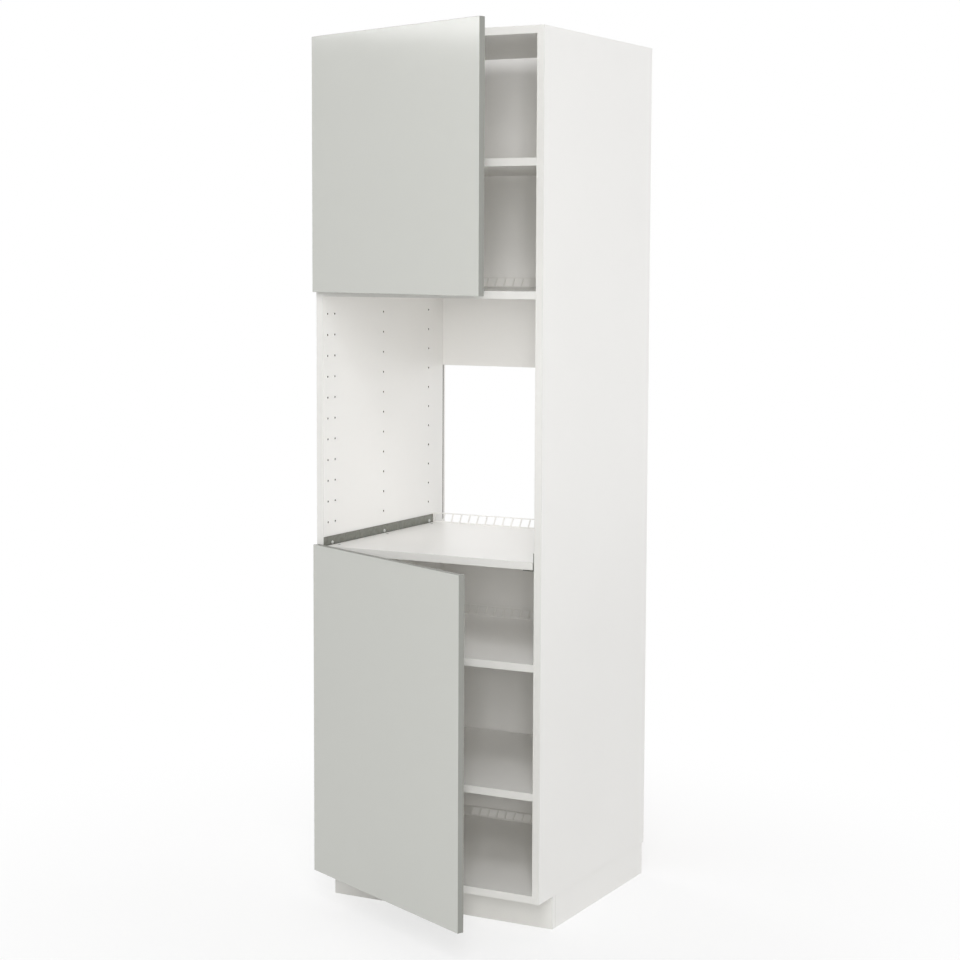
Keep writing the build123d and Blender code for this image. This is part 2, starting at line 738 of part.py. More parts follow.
def link_bar(start, end, end_eye_radius, bow_share, bow):
    # Plan outline of a link from one pivot to another, in a plane whose origin is the first pivot.
    # The bar bends to the front, so that it clears the cup's rim when the door is wide open.
    reach = end - start
    bend = reach * bow_share + reach.normalized().rotate(Axis.Z, 90) * bow
    Circle(link_eye_radius)
    with Locations((bend.X, bend.Y)):
        Circle(link_half_width)
    with Locations((reach.X, reach.Y)):
        Circle(end_eye_radius)
    for low, high in ((Vector(0, 0), bend), (bend, reach)):
        step = high - low
        middle = (low + high) / 2
        with Locations((middle.X, middle.Y)):
            Rectangle(step.length, 2 * link_half_width, rotation=math.degrees(math.atan2(step.Y, step.X)))


def pin(place, low, high, radius, mode=Mode.ADD):
    with BuildSketch(place.offset(low)) as section:
        Circle(radius)
    extrude(section.sketch, amount=high - low, mode=mode)


doors = (
    ("upper", upper_rest_angle, upper_door_low, upper_door_high),
    ("lower", lower_rest_angle, lower_door_low, lower_door_high),
)
for door, angle, door_low, door_high in doors:
    hinge_rows = (nearest_row(door_low + hinge_end_inset), nearest_row(door_high - hinge_end_inset))
    outer_turn = outer_link_ratio * angle
    inner_turn = inner_link_ratio * angle
    resting_cup_pivot = arm_pivot + (cup_pivot - arm_pivot).rotate(Axis.Z, outer_turn)
    leaf = Plane(origin=resting_cup_pivot, x_dir=Vector(1, 0, 0).rotate(Axis.Z, -angle))
    outer_plane = Plane(origin=arm_pivot, x_dir=Vector(1, 0, 0).rotate(Axis.Z, outer_turn))
    inner_plane = Plane(origin=tip_pivot, x_dir=Vector(1, 0, 0).rotate(Axis.Z, inner_turn))
    arm_plane = Plane(origin=arm_pivot)
    tip_plane = Plane(origin=tip_pivot)
    open_place = Plane(origin=leaf.from_local_coords(open_pivot - cup_pivot), x_dir=leaf.x_dir)
    door_middle_x = -cup_pivot.X
    door_middle_y = (door_back + door_front) / 2 - cup_pivot.Y
    cup_origin = leaf.from_local_coords(Vector(cup_centre_x - cup_pivot.X, door_back - cup_pivot.Y, 0))
    cup_plane = Plane(origin=cup_origin, x_dir=leaf.x_dir, z_dir=-leaf.y_dir)
    cup_spots = [(0, height) for height in hinge_rows]
    cup_screw_rise = cup_screw_spacing / 2
    cup_screw_spots = [(0, height + side * cup_screw_rise) for height in hinge_rows for side in (-1, 1)]

    # Door board, bored for the hinge cups and their screws
    with BuildPart() as door_board:
        with BuildSketch(leaf.offset(door_low)):
            with Locations((door_middle_x, door_middle_y)):
                Rectangle(cabinet_width - 2 * door_reveal, door_thickness)
        extrude(amount=door_high - door_low)
        fillet(door_board.edges(), door_edge_round)
        with BuildSketch(cup_plane):
            with Locations(*cup_spots):
                Circle(cup_radius)
        extrude(amount=cup_bore_depth, mode=Mode.SUBTRACT)
        with BuildSketch(cup_plane):
            with Locations(*cup_screw_spots):
                Circle(cup_screw_radius + cup_fit)
        extrude(amount=cup_screw_length + cup_fit, mode=Mode.SUBTRACT)
    door_board.part.label = f"{door}_door"
    export_step(door_board.part, f"parts/{door}_door.step")

    # Bumpers on the door's back, near its free edge
    bumper_x = inner_right + panel / 2 - cup_centre_x
    bumper_spots = [(bumper_x, door_low + bumper_inset), (bumper_x, door_high - bumper_inset)]
    with BuildPart() as bumpers:
        with BuildSketch(cup_plane):
            with Locations(*bumper_spots):
                Circle(bumper_radius)
        extrude(amount=-bumper_thickness, taper=bumper_taper)
    bumpers.part.label = f"{door}_door_bumpers"
    export_step(bumpers.part, f"parts/{door}_door_bumpers.step")

    # Hinge cups: a flanged round pot with a straight-sided cavity and bores for its two pivot pins
    with BuildPart() as hinge_cups:
        with BuildSketch(cup_plane):
            with Locations(*cup_spots):
                Circle(cup_radius - cup_fit)
        extrude(amount=cup_bore_depth - cup_fit)
        with BuildSketch(cup_plane):
            with Locations(*cup_spots):
                RectangleRounded(cup_flange_width, cup_flange_height, cup_flange_corner)
                Circle(cup_radius - cup_fit)
        extrude(amount=-cup_flange_thickness)
        with BuildSketch(cup_plane.offset(-cup_flange_thickness)):
            with Locations(*cup_spots):
                Rectangle(2 * cup_mouth_half, 2 * cup_cavity_half)
        extrude(amount=cup_flange_thickness + cup_bore_depth - cup_fit - cup_floor, mode=Mode.SUBTRACT)
        with BuildSketch(cup_plane.offset(-cup_flange_thickness)):
            with Locations(*cup_screw_spots):
                Circle(cup_screw_radius + cup_fit)
        extrude(amount=cup_flange_thickness, mode=Mode.SUBTRACT)
        for height in hinge_rows:
            pin(leaf, height - cup_pin_half, height + cup_pin_half, press_radius, Mode.SUBTRACT)
            pin(
                open_place, height - cup_pin_half, height + cup_pin_half,
                open_pivot_radius + pivot_press_gap, Mode.SUBTRACT,
            )
    hinge_cups.part.label = f"{door}_hinge_cups"
    export_step(hinge_cups.part, f"parts/{door}_hinge_cups.step")

    with BuildPart() as cup_screws:
        with BuildSketch(cup_plane.offset(-cup_flange_thickness)):
            with Locations(*cup_screw_spots):
                Circle(cup_screw_radius)
        extrude(amount=cup_flange_thickness + cup_screw_length)
        with BuildSketch(cup_plane.offset(-cup_flange_thickness)):
            with Locations(*cup_screw_spots):
                Circle(cup_screw_head_radius)
        extrude(amount=-cup_screw_head, taper=screw_head_taper)
    cup_screws.part.label = f"{door}_cup_screws"
    export_step(cup_screws.part, f"parts/{door}_cup_screws.step")

    # Pivot pins in the cup: short stubs for the outer links, one long pin for the inner link's slack eye
    with BuildPart() as cup_pins:
        for height in hinge_rows:
            pin(leaf, height + cup_pin_low, height + cup_pin_half, pivot_radius)
            pin(leaf, height - cup_pin_half, height - cup_pin_low, pivot_radius)
            pin(open_place, height - cup_pin_half, height + cup_pin_half, open_pivot_radius)
    cup_pins.part.label = f"{door}_cup_pins"
    export_step(cup_pins.part, f"parts/{door}_cup_pins.step")

    # Outer links: a pair of plates outside the arm's cheeks
    with BuildPart() as outer_links:
        for height in hinge_rows:
            for low in (height + outer_link_low, height - outer_link_high):
                with BuildSketch(outer_plane.offset(low)):
                    link_bar(arm_pivot, cup_pivot, link_eye_radius, outer_link_bow_share, outer_link_bow)
                    Circle(pivot_radius + pivot_running_gap, mode=Mode.SUBTRACT)
                    with Locations((cup_pivot.X - arm_pivot.X, cup_pivot.Y - arm_pivot.Y)):
                        Circle(pivot_radius + pivot_running_gap, mode=Mode.SUBTRACT)
                extrude(amount=outer_link_high - outer_link_low)
    outer_links.part.label = f"{door}_outer_links"
    export_step(outer_links.part, f"parts/{door}_outer_links.step")

    # Inner links: one thick bar between the arm's cheeks, with a slack eye round the cup's long pin
    with BuildPart() as inner_links:
        for height in hinge_rows:
            with BuildSketch(inner_plane.offset(height - inner_link_half)):
                link_bar(tip_pivot, open_eye, open_eye_radius, inner_link_bow_share, inner_link_bow)
                Circle(pivot_radius + pivot_running_gap, mode=Mode.SUBTRACT)
                with Locations((open_eye.X - tip_pivot.X, open_eye.Y - tip_pivot.Y)):
                    Circle(open_pivot_radius + open_pivot_slack, mode=Mode.SUBTRACT)
            extrude(amount=2 * inner_link_half)
    inner_links.part.label = f"{door}_inner_links"
    export_step(inner_links.part, f"parts/{door}_inner_links.step")

    # Hinge arms: a bar on the plate, a neck to the pivots, and a slot between the cheeks for the inner link
    neck = Vector(inner_left + arm_neck_in, front - arm_neck_ahead)
    bar_middle = Vector(plate_face + arm_bar_width / 2, front + (arm_length + arm_bar_front) / 2)
    with BuildPart() as hinge_arms:
        for height in hinge_rows:
            with BuildSketch(Plane.XY.offset(height - arm_half)):
                with Locations((bar_middle.X, bar_middle.Y)):
                    Rectangle(arm_bar_width, arm_length - arm_bar_front)
                Polygon(
                    (plate_face, front + arm_bar_front + arm_bar_width),
                    (plate_face, front + arm_bar_front),
                    (neck.X - link_eye_radius, neck.Y),
                    (arm_pivot.X, arm_pivot.Y),
                    (arm_pivot.X + link_eye_radius, arm_pivot.Y),
                    (plate_face + arm_bar_width, front + arm_bar_front + arm_bar_width),
                    align=None,
                )
                with Locations((arm_pivot.X, arm_pivot.Y), (tip_pivot.X, tip_pivot.Y), (neck.X, neck.Y)):
                    Circle(arm_eye_radius)
                with Locations(((neck.X + tip_pivot.X) / 2, (neck.Y + tip_pivot.Y) / 2)):
                    Rectangle(2 * arm_eye_radius, neck.Y - tip_pivot.Y)
            extrude(amount=2 * arm_half)
            slot_right = arm_pivot.X + link_eye_radius
            board(
                inner_left, slot_right, door_front, neck.Y,
                height - arm_slot_half, height + arm_slot_half, Mode.SUBTRACT,
            )
            pin(arm_plane, height - arm_half, height + arm_half, press_radius, Mode.SUBTRACT)
            pin(tip_plane, height - arm_half, height + arm_half, press_radius, Mode.SUBTRACT)
    hinge_arms.part.label = f"{door}_hinge_arms"
    export_step(hinge_arms.part, f"parts/{door}_hinge_arms.step")

    with BuildPart() as arm_pins:
        for height in hinge_rows:
            pin(arm_plane, height - outer_link_high, height + outer_link_high, pivot_radius)
            pin(tip_plane, height - arm_half, height + arm_half, pivot_radius)
    arm_pins.part.label = f"{door}_arm_pins"
    export_step(arm_pins.part, f"parts/{door}_arm_pins.step")

    # Hinge plates on the side panel, screwed into two holes of a drilled row
    plate_places = [(line, height) for line in (front_line, plate_line) for height in hinge_rows]
    with BuildPart() as hinge_plates:
        with BuildSketch(Plane.YZ.offset(inner_left)):
            with Locations(*[(front + plate_start + plate_length / 2, height) for height in hinge_rows]):
                RectangleRounded(plate_length, plate_width, plate_thickness)
        extrude(amount=plate_thickness)
        with BuildSketch(Plane.YZ.offset(inner_left)):
            with Locations(*plate_places):
                Circle(pin_hole_radius)
        extrude(amount=plate_thickness, mode=Mode.SUBTRACT)
        with BuildSketch(Plane.YZ.offset(plate_face)):
            with Locations(*plate_places):
                Circle(plate_screw_head_radius)
        extrude(amount=-plate_screw_head, mode=Mode.SUBTRACT)
    hinge_plates.part.label = f"{door}_hinge_plates"
    export_step(hinge_plates.part, f"parts/{door}_hinge_plates.step")

    # Plate screws: heads sunk in the plate, shanks in the side panel's holes
    with BuildPart() as plate_screws:
        with BuildSketch(Plane.YZ.offset(plate_face - plate_screw_head)):
            with Locations(*plate_places):
                Circle(pin_hole_radius - pin_fit)
        extrude(amount=-(plate_thickness - plate_screw_head + pin_hole_depth - pin_fit))
        with BuildSketch(Plane.YZ.offset(plate_face - plate_screw_head)):
            with Locations(*plate_places):
                Circle(plate_screw_head_radius - pin_fit)
        extrude(amount=plate_screw_head - pin_fit)
    plate_screws.part.label = f"{door}_plate_screws"
    export_step(plate_screws.part, f"parts/{door}_plate_screws.step")
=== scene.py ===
# %% [markdown]
# # A tall kitchen cabinet for a built-in oven
# The cabinet is a white chipboard carcass with a cupboard below, an open bay for the oven and a cupboard
# above. Its boards, doors, hinges and legs come from the CAD model and stay exactly where they are.
# This lesson gives each of them the finish it has on the real cabinet, makes the fittings whose heads carry
# a driver's recess, and sets up the light and the camera. Blender works in metres, so sizes in millimetres
# are multiplied by `mm`.

# %% Load the frame
import json
import math

import bmesh
import bpy
from mathutils import Matrix, Vector


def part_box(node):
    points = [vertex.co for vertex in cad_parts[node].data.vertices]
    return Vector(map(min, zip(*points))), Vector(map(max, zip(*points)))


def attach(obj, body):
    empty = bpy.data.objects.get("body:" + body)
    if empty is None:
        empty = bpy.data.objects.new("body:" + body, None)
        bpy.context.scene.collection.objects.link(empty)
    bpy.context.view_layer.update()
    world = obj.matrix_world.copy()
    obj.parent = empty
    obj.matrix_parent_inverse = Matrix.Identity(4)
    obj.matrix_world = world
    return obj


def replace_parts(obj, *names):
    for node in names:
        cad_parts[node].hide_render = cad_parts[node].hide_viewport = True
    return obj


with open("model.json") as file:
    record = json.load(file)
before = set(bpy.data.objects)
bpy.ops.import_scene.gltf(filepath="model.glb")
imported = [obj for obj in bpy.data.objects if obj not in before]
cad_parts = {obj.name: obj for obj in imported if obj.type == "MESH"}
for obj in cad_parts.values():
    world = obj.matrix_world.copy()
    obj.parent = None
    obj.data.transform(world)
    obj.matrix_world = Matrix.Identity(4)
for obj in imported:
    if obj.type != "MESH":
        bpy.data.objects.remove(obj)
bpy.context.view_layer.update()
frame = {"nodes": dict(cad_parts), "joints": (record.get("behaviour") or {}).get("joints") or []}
nodes = frame["nodes"]
mm = 0.001
scene = bpy.context.scene
scene.view_settings.view_transform = "Standard"

# %% [markdown]
# ## Helpers for all node trees
# A colour picker shows sRGB values, and shader sockets hold linear light, so one function turns a hex
# colour into linear. A second one adds a node to any tree: its settings are the node's own properties, and
# each input gets either a plain value or a link from another node's socket. A Mix node has one set of
# sockets for each kind of data, so the ones for colours and for numbers are picked by their place.

# %% Colour and node helpers
colour_a, colour_b, mixed_colour = 6, 7, 2
number_a, number_b, mixed_number = 2, 3, 0


def colour(hex_value):
    """Linear colour with alpha, from an sRGB value such as #F1F0EE."""
    channels = [int(hex_value[i:i + 2], 16) / 255 for i in (1, 3, 5)]
    linear = [c / 12.92 if c <= 0.04045 else ((c + 0.055) / 1.055) ** 2.4 for c in channels]
    return (*linear, 1.0)


def add(tree, kind, inputs=None, **settings):
    """Add a node of this kind, set its properties, then fill or link its inputs by name or number."""
    made = tree.nodes.new(kind)
    for name, value in settings.items():
        setattr(made, name, value)
    for name, value in (inputs or {}).items():
        socket = made.inputs[name]
        if isinstance(value, bpy.types.NodeSocket):
            tree.links.new(value, socket)
        else:
            socket.default_value = value
    return made


def per_metre(size_mm):
    """Texture scale that repeats a pattern about once in this many millimetres."""
    return 1 / (size_mm * mm)


def new_finish(name, **constants):
    """A material with its tree, its surface shader and its object coordinates."""
    material = bpy.data.materials.new(name)
    material.use_nodes = True
    tree = material.node_tree
    shader = tree.nodes["Principled BSDF"]
    for socket, value in constants.items():
        shader.inputs[socket.replace("_", " ")].default_value = value
    place = add(tree, "ShaderNodeTexCoord").outputs["Object"]
    return material, tree, shader, place


def wear(names, material):
    """Give CAD nodes this material in all their slots."""
    for name in names:
        for slot in nodes[name].material_slots:
            slot.material = material


print("white:", [round(c, 3) for c in colour("#F1F0EE")])

# %% [markdown]
# ## Where a board is cut
# The carcass is chipboard pressed between two sheets of white melamine paper. The front edge is closed by a
# 1 mm plastic band with a hairline joint behind it, and wherever a drill or a saw went through the paper,
# brown chips show. Those places could be painted by hand, but the material can find them by itself: a point
# that lies deeper than the paper inside the board's box can only be the wall of a hole or a groove.

# %% Find a board's cuts and its edge band
paper_depth = 0.25 * mm
band_depth = 1.0 * mm
band_joint = 0.15 * mm


def board_zones(board, tree, place):
    """Sockets that are 1 in the board's cuts, on its front edge band and in the joint behind that band."""
    low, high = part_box(board)
    from_low = add(tree, "ShaderNodeVectorMath", {0: place, 1: low}, operation="SUBTRACT").outputs[0]
    from_high = add(tree, "ShaderNodeVectorMath", {0: high, 1: place}, operation="SUBTRACT").outputs[0]
    nearest = add(tree, "ShaderNodeVectorMath", {0: from_low, 1: from_high}, operation="MINIMUM").outputs[0]
    depths = add(tree, "ShaderNodeSeparateXYZ", {0: nearest}).outputs
    across = add(tree, "ShaderNodeMath", {0: depths["X"], 1: depths["Y"]}, operation="MINIMUM").outputs[0]
    depth = add(tree, "ShaderNodeMath", {0: across, 1: depths["Z"]}, operation="MINIMUM").outputs[0]
    cut = add(tree, "ShaderNodeMath", {0: depth, 1: paper_depth}, operation="GREATER_THAN").outputs[0]
    behind = add(tree, "ShaderNodeSeparateXYZ", {0: from_low}).outputs["Y"]
    band = add(tree, "ShaderNodeMath", {0: behind, 1: band_depth}, operation="LESS_THAN").outputs[0]
    hairline = {0: behind, 1: band_depth, 2: band_joint}
    joint = add(tree, "ShaderNodeMath", hairline, operation="COMPARE").outputs[0]
    return cut, band, joint


print("paper:", paper_depth / mm, "mm, edge band:", band_depth / mm, "mm")

# %% [markdown]
# ## Melamine-faced chipboard
# Paper, band, joint and chips are four colours, so Mix nodes lay them over each other in that order. The
# band is painted greyer than the paper, as painted shade that dims the front edges. A slow noise shifts the
# paper's tone by a hair, as no two pressings come out quite alike. The chips are Voronoi cells about 2.5 mm
# across, rough and a very dark brown: partly the chipboard's own brown, partly painted shade inside the
# holes and grooves. The press plate leaves a pearl texture in the paper, which breaks reflections up a
# little: it is finer than a pixel, so it is drawn at 3 mm to show at all. Each board has its own box, so
# each gets its own copy of the material.

# %% Melamine boards
tone_size = 300.0
chip_size = 2.5
pearl_size = 3.0
pearl_depth = 0.1 * mm
pearl_strength = 0.06
paper_roughness = 0.42
chip_roughness = 0.9
white_boards = (
    "left_side_panel", "right_side_panel", "bottom_panel", "divider_shelf", "top_panel",
    "lower_shelf_low", "lower_shelf_high", "upper_shelf", "oven_shelf", "plinth_front", "plinth_return",
)


def melamine(board):
    """White melamine for one board, with painted shade on its edge band and in its dark brown cuts."""
    material, tree, shader, place = new_finish(f"melamine_{board}")
    cut, band, joint = board_zones(board, tree, place)
    tone = add(tree, "ShaderNodeTexNoise", {"Vector": place, "Scale": per_metre(tone_size), "Detail": 2.0})
    chips = add(tree, "ShaderNodeTexVoronoi", {"Vector": place, "Scale": per_metre(chip_size)})
    chip_tone = add(tree, "ShaderNodeSeparateColor", {0: chips.outputs["Color"]})
    # very dark brown: the chips' own brown, darkened as painted shade inside holes and grooves
    chips_and_hole_shade = add(tree, "ShaderNodeValToRGB", {0: chip_tone.outputs[0]})
    chips_and_hole_shade.color_ramp.elements[0].color = colour("#1F1713")
    chips_and_hole_shade.color_ramp.elements[1].color = colour("#523629")
    skin = colour("#F1F0EE")
    for where, over in (
        (tone.outputs["Fac"], colour("#F4F3F1")),
        # the band's grey is painted shade on the front edges
        (band, colour("#DEDDDA")),
        (joint, colour("#C0BFBB")),
        (cut, chips_and_hole_shade.outputs[0]),
    ):
        layer = {"Factor": where, colour_a: skin, colour_b: over}
        skin = add(tree, "ShaderNodeMix", layer, data_type="RGBA").outputs[mixed_colour]
    tree.links.new(skin, shader.inputs["Base Color"])
    dulled = {"Value": cut, "To Min": paper_roughness, "To Max": chip_roughness}
    rough = add(tree, "ShaderNodeMapRange", dulled)
    tree.links.new(rough.outputs[0], shader.inputs["Roughness"])
    pearl = add(tree, "ShaderNodeTexNoise", {"Vector": place, "Scale": per_metre(pearl_size), "Detail": 3.0})
    relief = {"Height": pearl.outputs["Fac"], "Strength": pearl_strength, "Distance": pearl_depth}
    bump = add(tree, "ShaderNodeBump", relief)
    tree.links.new(bump.outputs[0], shader.inputs["Normal"])
    return material


for board in white_boards:
    wear([board], melamine(board))
print("melamine boards:", len(white_boards))

# %% [markdown]
# ## How far the doors stand open
# Both doors stand ajar at rest. Everything on a door, from the darker edges of its foil to the screws of its
# hinge cups, is turned with it, so the angle is needed before the finish. The joint ranges give it: it is
# the lower limit of the door's swing less that of the links it hangs on.

# %% The doors' angles
doors = ("upper", "lower")
joint_ranges = {joint["name"]: joint["range_deg"] for joint in frame["joints"] if "range_deg" in joint}


def ajar(door):
    """The turn from closed to rest about Z, in radians."""
    swing, _ = joint_ranges[f"{door}_door_swing"]
    link_turn, _ = joint_ranges[f"{door}_outer_link_turn"]
    return math.radians(swing - link_turn)


for door in doors:
    print(door, "door stands ajar by", round(-math.degrees(ajar(door)), 1), "degrees")

# %% [markdown]
# ## Grey fronts with a sheen
# The doors are fibreboard wrapped in a pale grey, faintly green foil. Its sheen is what mirrors a lamp as a
# light band with a soft edge along the top of the upper door. All four edges are painted a darker grey and
# are matt. A foil never lies quite flat, so its reflections waver a little: a slow noise, about 40 mm from
# wave to wave, tilts the surface very slightly, and a second one varies the sheen.
# Because a door is turned, a point's place across it is measured along the door's own width.

# %% Door foil
noise_low, noise_high = 0.3, 0.7  # most values of a noise lie between these
wave_size = 40.0
wave_depth = 0.3 * mm
wave_strength = 0.05
haze_size = 90.0
sheen_low, sheen_high = 0.09, 0.12
edge_roughness = 0.5
dark_edge_width = 0.3 * mm


def middle_of(values):
    """Halfway between the least and the greatest value."""
    return (min(values) + max(values)) / 2


def door_foil(door):
    """Grey foil for one door, with its four edges painted a darker grey."""
    material, tree, shader, place = new_finish(f"glossy_grey_foil_{door}")
    along = Matrix.Rotation(ajar(door), 3, "Z") @ Vector((1, 0, 0))
    corners = [corner.co for corner in nodes[f"{door}_door"].data.vertices]
    within = []
    for way in (along, Vector((0, 0, 1))):
        reach = [corner.dot(way) for corner in corners]
        half = (max(reach) - min(reach)) / 2 - dark_edge_width
        spot = add(tree, "ShaderNodeVectorMath", {0: place, 1: way}, operation="DOT_PRODUCT")
        span = {0: spot.outputs["Value"], 1: middle_of(reach), 2: half}
        within.append(add(tree, "ShaderNodeMath", span, operation="COMPARE").outputs[0])
    face = add(tree, "ShaderNodeMath", {0: within[0], 1: within[1]}, operation="MINIMUM").outputs[0]
    # the four edges are painted a darker grey than the face
    tones = {"Factor": face, colour_a: colour("#8F908B"), colour_b: colour("#C6C7C2")}
    skin = add(tree, "ShaderNodeMix", tones, data_type="RGBA")
    tree.links.new(skin.outputs[mixed_colour], shader.inputs["Base Color"])

    haze = add(tree, "ShaderNodeTexNoise", {"Vector": place, "Scale": per_metre(haze_size), "Detail": 4.0})
    sheen = add(tree, "ShaderNodeMapRange", {
        "Value": haze.outputs["Fac"], "From Min": noise_low, "From Max": noise_high,
        "To Min": sheen_low, "To Max": sheen_high,
    })
    dulled = {"Factor": face, number_a: edge_roughness, number_b: sheen.outputs[0]}
    rough = add(tree, "ShaderNodeMix", dulled, data_type="FLOAT")
    tree.links.new(rough.outputs[mixed_number], shader.inputs["Roughness"])
    waves = add(tree, "ShaderNodeTexNoise", {"Vector": place, "Scale": per_metre(wave_size), "Detail": 1.0})
    relief = {"Height": waves.outputs["Fac"], "Strength": wave_strength, "Distance": wave_depth}
    bump = add(tree, "ShaderNodeBump", relief)
    tree.links.new(bump.outputs[0], shader.inputs["Normal"])
    return material


for door in doors:
    foil = door_foil(door)
    wear([f"{door}_door"], foil)
    print(door, "door wears:", foil.name)

# %% [markdown]
# ## Hardboard backs
# The thin backs are hardboard: white paint on the face that shows in the cupboard, and raw brown fibre
# behind, with the imprint of the wire screen that the wet fibre was pressed on. The paint covers every point
# in front of the panel's rear face, so the depth decides between the two. The screen's mesh is about 1.5 mm
# and the fibre finer still, so they are drawn at 3 and 6 mm.

# %% Hardboard
screen_size = 3.0
screen_depth = 0.2 * mm
screen_strength = 0.12
fibre_size = 6.0
raw_depth = 0.3 * mm
backs = ("upper_back_panel", "lower_back_panel")
rear_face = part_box(backs[0])[1].y
hardboard, tree, shader, place = new_finish("painted_hardboard", Roughness=0.5)
spot = add(tree, "ShaderNodeSeparateXYZ", {0: place}).outputs["Y"]
raw = add(tree, "ShaderNodeMath", {0: spot, 1: rear_face - raw_depth}, operation="GREATER_THAN")
strands = {"Vector": place, "Scale": per_metre(fibre_size), "Detail": 6.0, "Roughness": 0.7}
fibre = add(tree, "ShaderNodeTexNoise", strands)
brown = add(tree, "ShaderNodeValToRGB", {0: fibre.outputs["Fac"]})
dark_fibre, light_fibre = brown.color_ramp.elements
dark_fibre.position, dark_fibre.color = noise_low, colour("#7C5C3F")
light_fibre.position, light_fibre.color = noise_high, colour("#A07D58")
tones = {"Factor": raw.outputs[0], colour_a: colour("#F1F0EE"), colour_b: brown.outputs[0]}
paint = add(tree, "ShaderNodeMix", tones, data_type="RGBA")
tree.links.new(paint.outputs[mixed_colour], shader.inputs["Base Color"])
screen = add(tree, "ShaderNodeTexVoronoi", {"Vector": place, "Scale": per_metre(screen_size)})
relief = {"Height": screen.outputs["Distance"], "Strength": screen_strength, "Distance": screen_depth}
bump = add(tree, "ShaderNodeBump", relief)
tree.links.new(bump.outputs[0], shader.inputs["Normal"])
wear(backs, hardboard)
print("backs:", hardboard.name)

# %% [markdown]
# ## Moulded plastics
# The vent strips are white polystyrene and the legs, sockets, feet and clips black ABS. Both come out of
# moulds with a spark-eroded wall, which leaves an even, fine grain with a dull sheen. The door bumpers are
# drops of clear soft plastic. The grain is well under a millimetre, drawn at 1 mm, and one function gives it
# to all three: it tilts the surface and shifts the colour's lightness by a few percent.

# %% Plastics
grain_size = 1.0
grain_depth = 0.1 * mm
grain_strength = 0.15
shade_low, shade_high = 0.96, 1.04


def moulded(name, hex_value, roughness, **constants):
    """A moulded plastic with the grain of its mould."""
    material, tree, shader, place = new_finish(name, Roughness=roughness, **constants)
    grain = add(tree, "ShaderNodeTexNoise", {"Vector": place, "Scale": per_metre(grain_size), "Detail": 2.0})
    relief = {"Height": grain.outputs["Fac"], "Strength": grain_strength, "Distance": grain_depth}
    bump = add(tree, "ShaderNodeBump", relief)
    tree.links.new(bump.outputs[0], shader.inputs["Normal"])
    shades = {"Value": grain.outputs["Fac"], "To Min": shade_low, "To Max": shade_high}
    level = add(tree, "ShaderNodeMapRange", shades)
    shade = add(tree, "ShaderNodeHueSaturation", {"Color": colour(hex_value), "Value": level.outputs[0]})
    tree.links.new(shade.outputs[0], shader.inputs["Base Color"])
    return material


polystyrene = moulded("white_polystyrene", "#EBEAE7", 0.42)
black_abs = moulded("black_abs", "#232425", 0.45)
soft_plastic = moulded("clear_soft_plastic", "#D8DAD6", 0.28, Transmission_Weight=0.35)
feet = ("front_left_foot", "rear_left_foot", "front_right_foot", "rear_right_foot")
wear([f"{board}_vent_strip" for board in ("bottom", "lower_shelf", "oven_shelf", "divider")], polystyrene)
wear(("leg_sockets", "leg_tubes", "plinth_clips", *feet), black_abs)
wear([f"{door}_door_bumpers" for door in doors], soft_plastic)
print("plastics:", polystyrene.name, black_abs.name, soft_plastic.name)

# %% [markdown]
# ## Plated and galvanised steel
# The oven rails are bent from galvanised sheet, dull grey with a crystal pattern called spangle. The wall
# brackets, screws, bolts and pins are zinc plated, brighter and finer. The hinges are nickel plated, smooth
# and a little warm, and the oven shelf's screws are blackened. One function makes them all: cells of
# slightly different grey, and a roughness that follows them.

# %% Metals
roughness_spread = 0.15


def plated(name, dark, light, cell_mm, roughness):
    """A plated steel whose crystals vary in tone and gloss."""
    material, tree, shader, place = new_finish(name, Metallic=1.0)
    cells = add(tree, "ShaderNodeTexVoronoi", {"Vector": place, "Scale": per_metre(cell_mm)})
    cell_tone = add(tree, "ShaderNodeSeparateColor", {0: cells.outputs["Color"]})
    grey = add(tree, "ShaderNodeValToRGB", {0: cell_tone.outputs[0]})
    grey.color_ramp.elements[0].color = colour(dark)
    grey.color_ramp.elements[1].color = colour(light)
    tree.links.new(grey.outputs[0], shader.inputs["Base Color"])
    rough = add(tree, "ShaderNodeMapRange", {
        "Value": cell_tone.outputs[1],
        "To Min": roughness * (1 - roughness_spread), "To Max": roughness * (1 + roughness_spread),
    })
    tree.links.new(rough.outputs[0], shader.inputs["Roughness"])
    return material


galvanised = plated("galvanised_sheet_steel", "#7E7F78", "#868780", 7.0, 0.5)
zinc = plated("zinc_plated_steel", "#CFD0CE", "#DDDEDC", 0.8, 0.3)
nickel = plated("nickel_plated_steel", "#BDB9B1", "#CBC8C1", 0.8, 0.24)
blackened = plated("blackened_steel", "#2B2B2C", "#3A3A3A", 0.8, 0.4)
hinge_pieces = (
    "hinge_cups", "cup_pins", "outer_links", "inner_links", "hinge_arms", "arm_pins", "hinge_plates",
)
wear(("left_oven_rail", "right_oven_rail"), galvanised)
wear(("cam_bolts", "shelf_pins", "wall_brackets"), zinc)
wear([f"{door}_plate_screws" for door in doors], zinc)
wear([f"{door}_{piece}" for door in doors for piece in hinge_pieces], nickel)
print("metals:", galvanised.name, zinc.name, nickel.name, blackened.name)

# %% [markdown]
# ## Where the screws sit
# Each CAD screw is a plain turned form. The real heads have a cross recess, so screws with a recess take
# their place. Their places could be typed in, but then a changed board would leave them behind, so they are
# read from the CAD nodes: a copy of the node's triangles is merged and split into its separate solids, and
# the middle of each solid's outermost face is a seat. `outward` is the way the head looks.

# %% Find the seats of a node's solids
merge_distance = 0.001 * mm


